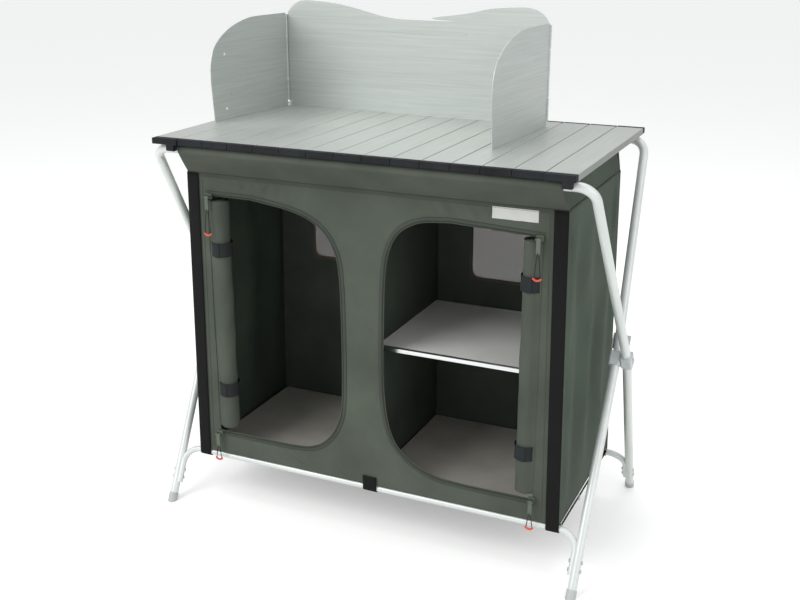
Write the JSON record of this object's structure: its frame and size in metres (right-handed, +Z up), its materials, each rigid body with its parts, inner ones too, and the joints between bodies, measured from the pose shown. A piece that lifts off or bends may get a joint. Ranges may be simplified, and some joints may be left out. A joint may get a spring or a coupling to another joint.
{
  "type": "camping cupboard",
  "caption": "Folding camping cupboard: slat table top on crossing tube legs, hung fabric compartments with roll-up doors, a shelf and a folding windscreen.",
  "frame": {"origin": "on the floor, under the middle of the table top", "axes": "+X to the right along the front, +Y to the back, +Z up"},
  "size_m": [0.9678, 0.506, 1.032],
  "materials": {
    "slat_aluminium": "satin",
    "dark_plastic": "matte",
    "cord_rubber": "matte",
    "frame_paint": "satin",
    "rivet_steel": "satin",
    "foot_plastic": "matte",
    "collar_plastic": "matte",
    "screen_aluminium": "satin",
    "box_fabric": "matte",
    "net_fabric": "matte",
    "webbing": "matte",
    "zip_tape": "matte",
    "board": "matte",
    "shelf_aluminium": "satin",
    "slider_metal": "satin",
    "pull_plastic": "matte"
  },
  "bodies": {
    "cupboard": {"front_top_frame": "frame_paint", "rear_lower_rail": "frame_paint", "rear_feet": "foot_plastic", "rear_rail_rivets": "rivet_steel", "front_frame_collars": "collar_plastic", "front_panel": "box_fabric", "rear_panel": "box_fabric", "left_end_panel": "box_fabric", "right_end_panel": "box_fabric", "divider_panel": "box_fabric", "floor_sheet": "box_fabric", "front_valance": "box_fabric", "rear_valance": "box_fabric", "end_valances": "box_fabric", "window_nets": "net_fabric", "door_roll_left": "box_fabric", "door_roll_right": "box_fabric", "door_ties": "webbing", "door_zips": "zip_tape", "front_straps": "webbing", "rear_straps": "webbing", "side_straps": "webbing", "floor_boards": "board", "shelf_board": "board", "shelf_edges": "shelf_aluminium"},
    "rear_frame": {"rear_top_frame": "frame_paint", "front_lower_rail": "frame_paint", "front_feet": "foot_plastic", "front_rail_rivets": "rivet_steel", "rear_frame_collars": "collar_plastic", "pivot_pins": "rivet_steel"},
    "table_top": {"slat_01": "slat_aluminium", "slat_02": "slat_aluminium", "slat_03": "slat_aluminium", "slat_04": "slat_aluminium", "slat_05": "slat_aluminium", "slat_06": "slat_aluminium", "slat_07": "slat_aluminium", "slat_08": "slat_aluminium", "slat_09": "slat_aluminium", "slat_10": "slat_aluminium", "slat_11": "slat_aluminium", "slat_12": "slat_aluminium", "slat_13": "slat_aluminium", "slat_14": "slat_aluminium", "slat_15": "slat_aluminium", "slat_end_caps": "dark_plastic", "shock_cords": "cord_rubber"},
    "windscreen": {"screen_back": "screen_aluminium", "screen_hinge_rods": "rivet_steel"},
    "left_wing": {"screen_left_wing": "screen_aluminium"},
    "right_wing": {"screen_right_wing": "screen_aluminium"},
    "slider_left_top": {"zip_slider_left_top": "slider_metal"},
    "pull_left_top": {"zip_pull_left_top": "pull_plastic"},
    "slider_right_top": {"zip_slider_right_top": "slider_metal"},
    "pull_right_top": {"zip_pull_right_top": "pull_plastic"},
    "slider_left_bottom": {"zip_slider_left_bottom": "slider_metal"},
    "pull_left_bottom": {"zip_pull_left_bottom": "pull_plastic"},
    "slider_right_bottom": {"zip_slider_right_bottom": "slider_metal"},
    "pull_right_bottom": {"zip_pull_right_bottom": "pull_plastic"}
  },
  "joints": [
    {"name": "frame_fold", "type": "hinge", "parent": "cupboard", "child": "rear_frame", "pos_m": [0, 0, 0.394], "axis": [1, 0, 0], "range_deg": [0, 56], "deforming": ["rear_valance", "front_straps", "side_straps"]},
    {"name": "top_lift", "type": "slide", "parent": "cupboard", "child": "table_top", "axis": [0, 0, 1], "range_m": [0, 0.34]},
    {"name": "screen_lift", "type": "slide", "parent": "table_top", "child": "windscreen", "axis": [0, 0, 1], "range_m": [0, 0.3]},
    {"name": "left_wing_fold", "type": "hinge", "parent": "windscreen", "child": "left_wing", "pos_m": [-0.38709, 0.21638, 0.9], "axis": [0, 0, 1], "range_deg": [-30, 89]},
    {"name": "right_wing_fold", "type": "hinge", "parent": "windscreen", "child": "right_wing", "pos_m": [0.23563, 0.17644, 0.9], "axis": [0, 0, -1], "range_deg": [-30, 89]},
    {"name": "slide_left_top", "type": "slide", "parent": "cupboard", "child": "slider_left_top", "axis": [1, 0, 0], "range_m": [0, 0.09]},
    {"name": "swing_left_top", "type": "hinge", "parent": "slider_left_top", "child": "pull_left_top", "pos_m": [-0.343, -0.195, 0.677], "axis": [-1, 0, 0], "range_deg": [0, 110]},
    {"name": "slide_right_top", "type": "slide", "parent": "cupboard", "child": "slider_right_top", "axis": [-1, 0, 0], "range_m": [0, 0.09]},
    {"name": "swing_right_top", "type": "hinge", "parent": "slider_right_top", "child": "pull_right_top", "pos_m": [0.343, -0.195, 0.669], "axis": [-1, 0, 0], "range_deg": [0, 110]},
    {"name": "slide_left_bottom", "type": "slide", "parent": "cupboard", "child": "slider_left_bottom", "axis": [1, 0, 0], "range_m": [0, 0.09]},
    {"name": "swing_left_bottom", "type": "hinge", "parent": "slider_left_bottom", "child": "pull_left_bottom", "pos_m": [-0.348, -0.195, 0.157], "axis": [-1, 0, 0], "range_deg": [0, 110]},
    {"name": "slide_right_bottom", "type": "slide", "parent": "cupboard", "child": "slider_right_bottom", "axis": [-1, 0, 0], "range_m": [0, 0.09]},
    {"name": "swing_right_bottom", "type": "hinge", "parent": "slider_right_bottom", "child": "pull_right_bottom", "pos_m": [0.348, -0.195, 0.157], "axis": [-1, 0, 0], "range_deg": [0, 110]}
  ],
  "couplings": [
    {"joint": "top_lift", "follows": "frame_fold", "m_per_rad": 0.34}
  ]
}
